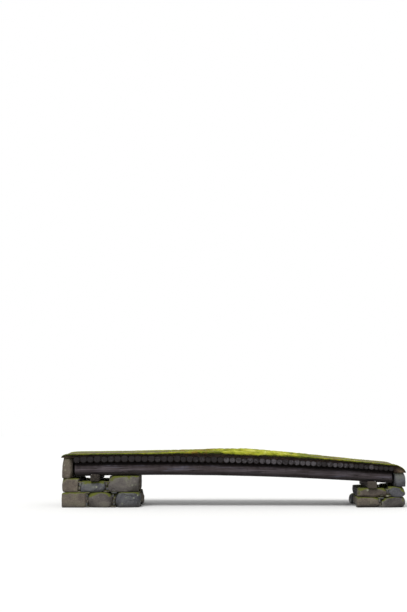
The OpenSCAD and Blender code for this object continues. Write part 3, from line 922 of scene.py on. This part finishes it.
def trodden_gravel():
    """Sandy grey-brown gravel: small stones of several greys set in fines, darker in soaked patches, and a
    green film near the edges."""
    made = Finish("trodden_gravel", Specular_IOR_Level=0.3)
    place = made.place()
    stones = made.node("TexVoronoi", {"Vector": place, "Scale": 75.0})
    tint = made.node("TexVoronoi", {"Vector": place, "Scale": 75.0}, "Color")
    shade = made.node("SeparateColor", {"Color": tint}, "Red")
    pebble = made.ramp(
        shade, (0.1, srgb(92, 82, 70)), (0.4, srgb(136, 124, 106)), (0.7, srgb(160, 150, 134)),
        (0.95, srgb(112, 106, 102)),
    )
    fines = made.ramp(made.noise(place, 120, 4, 0.7), (0.35, srgb(84, 70, 54)), (0.7, srgb(132, 114, 90)))
    colour = made.mix(made.window(stones, 0.3, 0.55), pebble, fines)
    cloud = made.noise(place, 2.4, 4, 0.6)
    colour = made.mix(made.window(cloud, 0.42, 0.7, 0.0, 0.45), colour, srgb(72, 60, 46))
    y = made.maths("ABSOLUTE", made.axis(place, "Y"))
    edge = made.plus(y, made.times(made.noise(place, 9, 5, 0.7), 0.22))
    green = made.window(edge, 0.44, 0.55)
    colour = made.mix(green, colour, made.mix(made.noise(place, 90, 3), srgb(74, 80, 26), srgb(140, 146, 54)))
    height = made.minus(made.noise(place, 160, 3), made.times(stones, 0.8))
    return made.finish(colour, 0.92, height, 0.006)


def loose_pebbles():
    """Each pebble has one of the pit's colours, from brown to pale grey, with a faint mottle."""
    made = Finish("path_pebbles", Specular_IOR_Level=0.35)
    mottle = made.times(made.noise(made.place(), 160, 3), 0.3)
    shade = made.plus(made.value("tone"), made.minus(mottle, 0.15))
    colour = made.ramp(
        shade, (0.05, srgb(84, 76, 68)), (0.35, srgb(128, 118, 104)), (0.65, srgb(158, 150, 138)),
        (0.95, srgb(120, 116, 116)),
    )
    return made.finish(colour, 0.8, mottle, 0.002)


path_rings, path_top = gravel_surface()
piece("gravel_path_trodden", tube(path_rings), trodden_gravel(), "gravel", ["gravel_path"])
pebbles, pebble_tones = round_pebbles(path_top, pebble_count, 17)
piece("gravel_path_pebbles", pebbles, loose_pebbles(), "gravel", tone=pebble_tones)

# Mossy banks
# A kerb of turf and earth on each edge of the bed, grown over by moss in cushions. The moss bulges
# out past the log ends, curls in under itself to the bed's side and hangs a little lower here and there.
moss_rows = 780
moss_columns = 48
mound_power = 0.75
mound_end_run = 0.13
foot_lip = 0.022
foot_drop = 0.002
gravel_overlap = 0.02
cushion_sizes = (0.15, 0.052)
cushion_depths = (0.022, 0.009)
tuft_count = 20000
fringe_count = 2600
shoot_count = 420
creep_count = 5200
bare_runs = ((-0.5, 0.42, 0.038), (1.5, 0.5, 0.046), (3.0, 0.8, 0.03))


def cushions(along, across, size, seed):
    """Overlapping domes. The plane is cut in squares of that size with one seed point in each, and every
    seed has its own height h from 0.75 to 1. The result is the most of h * (1 - (distance / 0.9 size)^2)
    over the seeds of the nine nearest squares, never below 0."""
    grid = np.stack([along, across], -1) / size
    cell = np.floor(grid).astype(np.int64)
    best = np.zeros(along.shape)
    for step in np.ndindex(3, 3):
        near = cell + step - 1
        code = (near @ np.array([92837111, 689287499]) + seed * 283923481) & 0xFFFFFFFF
        code = ((code ^ (code >> 15)) * 2246822519) & 0xFFFFFFFF
        code = ((code ^ (code >> 13)) * 3266489917) & 0xFFFFFFFF
        jitter = np.stack([(code & 0x3FF) / 1023, (code >> 10 & 0x3FF) / 1023], -1)
        height = 0.75 + 0.25 * (code >> 20 & 0xFF) / 255
        gap = ((grid - near - jitter) ** 2).sum(-1)
        best = np.maximum(best, height * (1 - gap / 0.81))
    return best


def moss_mound(name, side, seed):
    """A tube along X over a mound's section: y = middle + width/2 * cos^p, z = bed + height * sin^p, with the
    mound's power p, as the CAD bank has it. Its outer foot stands a lip above the bed, more along the bare
    runs, and curls in under itself on a quarter ellipse to the bed's side, hanging by the drop. Its inner
    foot wanders over the edge of the gravel. The cushions are sunk into it."""
    stations, low, high = node_rings(name)
    end = stations.max()
    rows = np.linspace(-end, end, moss_rows)[:, None]
    bed = bed_level(rows)
    worn = np.sqrt(1 - (0.95 * near_end(rows, end, mound_end_run)) ** 2)
    rise = np.interp(rows, stations, high[:, 2] - low[:, 2]) * worn
    middle = (low[:, 1].mean() + high[:, 1].mean()) / 2
    half = (high[:, 1].mean() - low[:, 1].mean()) / 2
    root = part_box("earth_bed")[1].y - side * middle + 0.003
    slow = layered_noise(points_at(rows, seed, 0), 0.6, seed + 7, 2)
    quick = layered_noise(points_at(rows, seed, 0), 0.11, seed + 9, 3)
    bare = sum(height * np.exp(-(((rows - place) / run) ** 2)) for place, run, height in bare_runs)
    lip = np.minimum(np.clip(foot_lip + 0.016 * quick + 0.012 * slow + bare, 0.006, 1), 0.62 * rise)
    drop = foot_drop + 0.012 * np.clip(slow + 0.5 * quick, 0, 0.7)
    edge = half - 0.005 - 0.005 * quick
    inner = half + gravel_overlap + 0.012 * quick + 0.016 * slow
    a = np.radians(np.linspace(-60, 180, moss_columns))[None, :]
    c, s = np.cos(a), np.sin(a)
    bend = 1.5 * np.minimum(a, 0)
    over = np.where(c > 0, edge, inner) * np.sign(c) * np.abs(c) ** mound_power
    y = np.where(a < 0, root + (edge - root) * np.cos(bend), over)
    foot = np.where(c > 0, lip, 0)
    over = foot + (rise - foot) * np.abs(s) ** mound_power
    z = np.where(a < 0, lip + (lip + drop) * np.sin(bend), over)
    steps = np.hypot(np.diff(y, axis=1), np.diff(z, axis=1))
    arc = np.concatenate([0 * rows, np.cumsum(steps, 1)], 1)
    big = cushions(rows + 0 * arc, arc, cushion_sizes[0], seed)
    small = cushions(rows + 0.3 * arc, arc, cushion_sizes[1], seed + 1)
    rough = layered_noise(points_at(rows, arc, 0), 0.03, seed + 2, 3)
    sink = cushion_depths[0] * (1 - big) + cushion_depths[1] * (1 - small) + 0.004 * (1 - rough)
    sink = sink * np.clip(rise / 0.06, 0.25, 1)
    keep = 1 - sink / np.maximum(np.hypot(y, np.maximum(z, 0.4 * rise)), 0.04)
    # Painted light and shade: high on the cushions' domes, low in the folds, and lower still where the mound curls
    # in under itself.
    lush = np.clip(0.6 * big + 0.4 * small, 0, 1) * np.where(a < 0, 1 + 0.9 * bend, 1)
    mound = points_at(rows, middle + side * y * keep, bed + z * np.where(a < 0, 1, keep))
    flat = np.array([-half * 0.94, root - 0.01])
    under = points_at(rows, middle + side * flat, bed + 0.0005)
    rings = worn_back(np.concatenate([mound, under], 1), end, seed + 11)
    mound = rings[:, :moss_columns]
    lush = np.concatenate([np.maximum(lush, 0), 0 * under[..., 0]], 1)
    if side < 0:
        return rings[:, ::-1], lush[:, ::-1], mound, lush
    return rings, lush, mound, lush


def leaves(foot, way, size, width, seed):
    """Many small pointed leaves, each a bent blade of five points: two at the foot, two at the middle and
    a tip. A leaf starts at its foot, runs along its way and droops as it goes."""
    draw = np.random.default_rng(seed)
    count = len(foot)
    across = np.cross(way, draw.normal(size=(count, 3)))
    across = across / np.linalg.norm(across, axis=1, keepdims=True) * width[:, None] / 2
    droop = np.array([0, 0, -1.0]) * (size * draw.uniform(0.1, 0.45, count))[:, None]
    middle = foot + way * size[:, None] * 0.55 + 0.3 * droop
    tip = foot + way * size[:, None] + droop
    points = np.stack([foot - across, foot + across, middle + across * 0.8, middle - across * 0.8, tip], 1)
    base = np.arange(count)[:, None] * 5
    quads = base + np.array([[0, 1, 2, 3]])
    tips = base + np.array([[3, 2, 4]])
    root_to_tip = np.tile(np.array([0, 0, 0.55, 0.55, 1.0]), count)
    return (points.reshape(-1, 3), [quads, tips]), root_to_tip


def tufts_on(surface, lush, row, column, lean, size, width, turn, seed):
    """Leaves that stand on a grid of points at the given rows and columns. Each one's way is the surface's
    own outward direction plus a lean, scattered at random, and it takes the colour of what it grows on."""
    draw = np.random.default_rng(seed)
    foot = surface[row, column] + draw.uniform(-0.005, 0.005, (len(row), 3)) * (1, 1, 0)
    along = surface[row + 1, column] - surface[row - 1, column]
    around = surface[row, column + 1] - surface[row, column - 1]
    out = np.cross(around, along) * turn
    out = out / np.linalg.norm(out, axis=1, keepdims=True)
    way = out + lean + draw.normal(scale=0.5, size=foot.shape)
    way = way / np.linalg.norm(way, axis=1, keepdims=True)
    skin, tip = leaves(foot - 0.25 * out * size[:, None], way, size, width, seed)
    # The tone takes the mound's painted light and shade at the leaf's foot.
    tone = 0.8 * lush[row, column] + draw.uniform(-0.12, 0.16, len(row))
    return skin, np.repeat(tone, 5) + 0.3 * tip, tip


def moss_leaves(mound, lush, side, seed):
    """Short tufts all over a mound, a hanging fringe along its outer foot, and thin shoots on its crest."""
    draw = np.random.default_rng(seed)
    rows, columns = mound.shape[:2]
    crest = np.argmax(mound[rows // 2, :, 2])
    parts = []
    for count, lowest, highest, lean, shortest, longest, breadth in (
        (tuft_count, 3, columns - 3, (0, 0, 0.1), 0.006, 0.013, 0.0038),
        (fringe_count, 8, 16, (0, 0, -0.5), 0.006, 0.014, 0.0036),
        (shoot_count, crest - 4, crest + 5, (0, 0, 1.2), 0.013, 0.024, 0.0022),
    ):
        row = draw.integers(3, rows - 4, count)
        column = draw.integers(lowest, highest, count)
        size = draw.uniform(shortest, longest, count)
        width = breadth * draw.uniform(0.7, 1.3, count)
        parts.append(tufts_on(mound, lush, row, column, lean, size, width, side, seed + count))
    return joined([part[0] for part in parts]), *(np.concatenate([part[k] for part in parts]) for k in (1, 2))


def moss_finish(name, on_leaves):
    """Painted light and shade make it pale yellow-green on the domes, olive in the folds and black-brown
    where it faces down. The crown is the brightest, as a painted highlight, with browner runs on either side of
    it, a patch of fresher green past it and deeper green on the left as painted shade, each broken up by
    clouds of noise. Fine noise gives the nap of the leaves."""
    made = Finish(name, Specular_IOR_Level=0.15, Sheen_Weight=0.1, Sheen_Roughness=0.5)
    place = made.place()
    lush = made.value("lush")
    x = made.axis(place, "X")
    nap = made.noise(place, 150, 4, 0.75)
    cloud = made.noise(made.stretch(place, (1, 2.2, 2.2)), 2.6, 5, 0.62)
    streak = made.noise(made.stretch(place, (3.2, 15, 15)), 1.0, 4, 0.6)

    def run(start, full, fade, stop, most):
        """A run along the bridge that rises from start to full and falls from fade to stop."""
        rising = made.window(x, start, full, 0.0, most)
        return made.times(rising, made.window(x, stop, fade))

    # Painted light and shade: the dome value lifts the colour on the cushions' tops and lowers it in the folds.
    tint = made.plus(made.times(lush, 0.4), made.times(cloud, 0.7))
    tint = made.plus(made.minus(tint, 0.24), made.times(nap, 0.38))
    tint = made.plus(tint, made.times(made.minus(streak, 0.5), 0.62))
    # Painted highlight: the crown from x = -0.7 to 1.9 m is brightened as if sunlit.
    tint = made.plus(tint, run(-0.7, 0.4, 1.3, 1.9, 0.19))
    colour = made.ramp(
        tint, (0.3, srgb(54, 56, 20)), (0.45, srgb(100, 107, 30)), (0.6, srgb(148, 155, 36)),
        (0.76, srgb(190, 194, 54)), (0.93, srgb(232, 232, 122)),
    )
    browner = made.maths("MAXIMUM", run(-1.5, -1.05, -0.5, -0.1, 0.85), run(1.7, 2.1, 2.5, 2.9, 0.6))
    browner = made.maths("MAXIMUM", browner, 0.2)
    brown = made.times(made.window(made.noise(place, 6.5, 5, 0.7), 0.47, 0.6), browner)
    colour = made.mix(brown, colour, srgb(146, 110, 40))
    # Partly real, partly painted shade: a real patch of fresher green past the crown, and a darker green towards
    # the left end as painted shade.
    greener_and_left_shade = made.maths("MAXIMUM", run(1.2, 1.55, 1.8, 2.1, 0.6), made.window(x, -1.3, -3.0, 0.12, 0.6))
    green = made.times(made.window(made.noise(place, 4.2, 4, 0.65), 0.38, 0.56), greener_and_left_shade)
    colour = made.mix(green, colour, srgb(92, 112, 30))
    if on_leaves:
        colour = made.mix(made.window(made.value("tip"), 0.0, 0.8, 0.3, 0.0), colour, srgb(66, 66, 26))
    else:
        up = made.upward()
        # Painted shade: dark olive in the folds between cushions and under the curl.
        colour = made.mix(made.window(lush, 0.36, 0.04, 0.0, 0.85), colour, srgb(46, 44, 20))
        # Painted shade: black-brown where the moss faces down.
        colour = made.mix(made.window(up, 0.0, -0.5, 0.0, 0.8), colour, srgb(34, 28, 20))
    return made.finish(colour, 0.95, nap, 0.014)


cushion_finish, leaf_finish = moss_finish("moss_cushion", False), moss_finish("moss_leaf", True)
for name, side, seed in (("moss_bank_front", -1, 71), ("moss_bank_back", 1, 83)):
    rings, ring_lush, mound, lush = moss_mound(name, side, seed)
    piece(name + "_cushions", tube(rings), cushion_finish, "moss", [name], lush=with_ends(ring_lush))
    skin, leaf_lush, tips = moss_leaves(mound, lush, side, seed + 5)
    piece(name + "_tufts", skin, leaf_finish, "moss", lush=leaf_lush, tip=tips)
draw = np.random.default_rng(91)
row = draw.integers(3, path_rows - 4, creep_count)
reach = np.abs(draw.normal(scale=2.6, size=creep_count)) * (1 + 0.8 * np.sin(row * 0.13) * np.sin(row * 0.041))
column = np.clip(reach, 1, 12).astype(int)
column = np.where(draw.random(creep_count) < 0.5, column, path_columns - 1 - column)
size = draw.uniform(0.006, 0.012, creep_count)
width = draw.uniform(0.0025, 0.0042, creep_count)
# An even painted light for the leaves that creep over the gravel.
even_lush = 0.5 + 0 * path_top[..., 0]
skin, creep_lush, tips = tufts_on(path_top, even_lush, row, column, (0, 0, 0.2), size, width, 1, 93)
piece("path_edge_moss", skin, leaf_finish, "moss", lush=creep_lush, tip=tips)

# Floor, light and camera
# A plain pale floor under a plain white surround, one broad soft lamp from above the front,
# and the camera at the photograph's place, a little above the deck and well back.
floor_reach = 60
floor_lit_grey = (0.36, 0.36, 0.35, 1)
floor_seen_white = (0.95, 0.95, 0.94, 1)
surround_light = 0.5
surround_seen = 1.0
lamp_energy = 2.3
lamp_spread = 30
lamp_tilt = (36, 0, -18)
camera_place = (-0.66, -26.64, 2.2)
camera_pitch = 94.93
focal_length_in_pixels = 1170
picture_long_side = 612


def seen_directly(tree):
    """1 where a ray comes from the camera or from a glossy surface, and 0 where it only spreads light."""
    ray = tree.nodes.new("ShaderNodeLightPath")
    either = tree.nodes.new("ShaderNodeMath")
    either.operation = "MAXIMUM"
    for socket, kind in zip(either.inputs, ("Is Camera Ray", "Is Glossy Ray")):
        tree.links.new(socket, ray.outputs[kind])
    return either.outputs[0]


floor_mesh = bpy.data.meshes.new("studio_floor")
floor_corners = [(floor_reach * x, floor_reach * y, 0) for x, y in ((-1, -1), (1, -1), (1, 1), (-1, 1))]
floor_mesh.from_pydata(floor_corners, [], [(0, 1, 2, 3)])
floor = bpy.data.objects.new("studio_floor", floor_mesh)
bpy.context.scene.collection.objects.link(floor)
floor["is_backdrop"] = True
floor_finish = Finish("studio_floor", Roughness=0.9, Specular_IOR_Level=0.1)
pale = floor_finish.mix(seen_directly(floor_finish.tree), floor_lit_grey, floor_seen_white)
floor_finish.tree.links.new(floor_finish.shader.inputs["Base Color"], pale)
floor_mesh.materials.append(floor_finish.material)

surround = bpy.data.worlds.new("white_surround")
surround.use_nodes = True
sky = surround.node_tree.nodes["Background"]
sky.inputs["Color"].default_value = (1, 1, 1, 1)
strength = surround.node_tree.nodes.new("ShaderNodeMapRange")
strength.inputs["To Min"].default_value = surround_light
strength.inputs["To Max"].default_value = surround_seen
surround.node_tree.links.new(strength.inputs["Value"], seen_directly(surround.node_tree))
surround.node_tree.links.new(sky.inputs["Strength"], strength.outputs["Result"])
bpy.context.scene.world = surround

lamp = bpy.data.objects.new("soft_lamp", bpy.data.lights.new("soft_lamp", "SUN"))
lamp.data.energy = lamp_energy
lamp.data.angle = math.radians(lamp_spread)
lamp.rotation_euler = [math.radians(turn) for turn in lamp_tilt]
bpy.context.scene.collection.objects.link(lamp)

camera = bpy.data.objects.new("photo_camera", bpy.data.cameras.new("photo_camera"))
camera.data.lens = camera.data.sensor_width * focal_length_in_pixels / picture_long_side
camera.location = camera_place
camera.rotation_euler = (math.radians(camera_pitch), 0, 0)
bpy.context.scene.collection.objects.link(camera)
bpy.context.scene.camera = camera
bpy.context.scene.view_settings.view_transform = "Standard"

low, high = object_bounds()
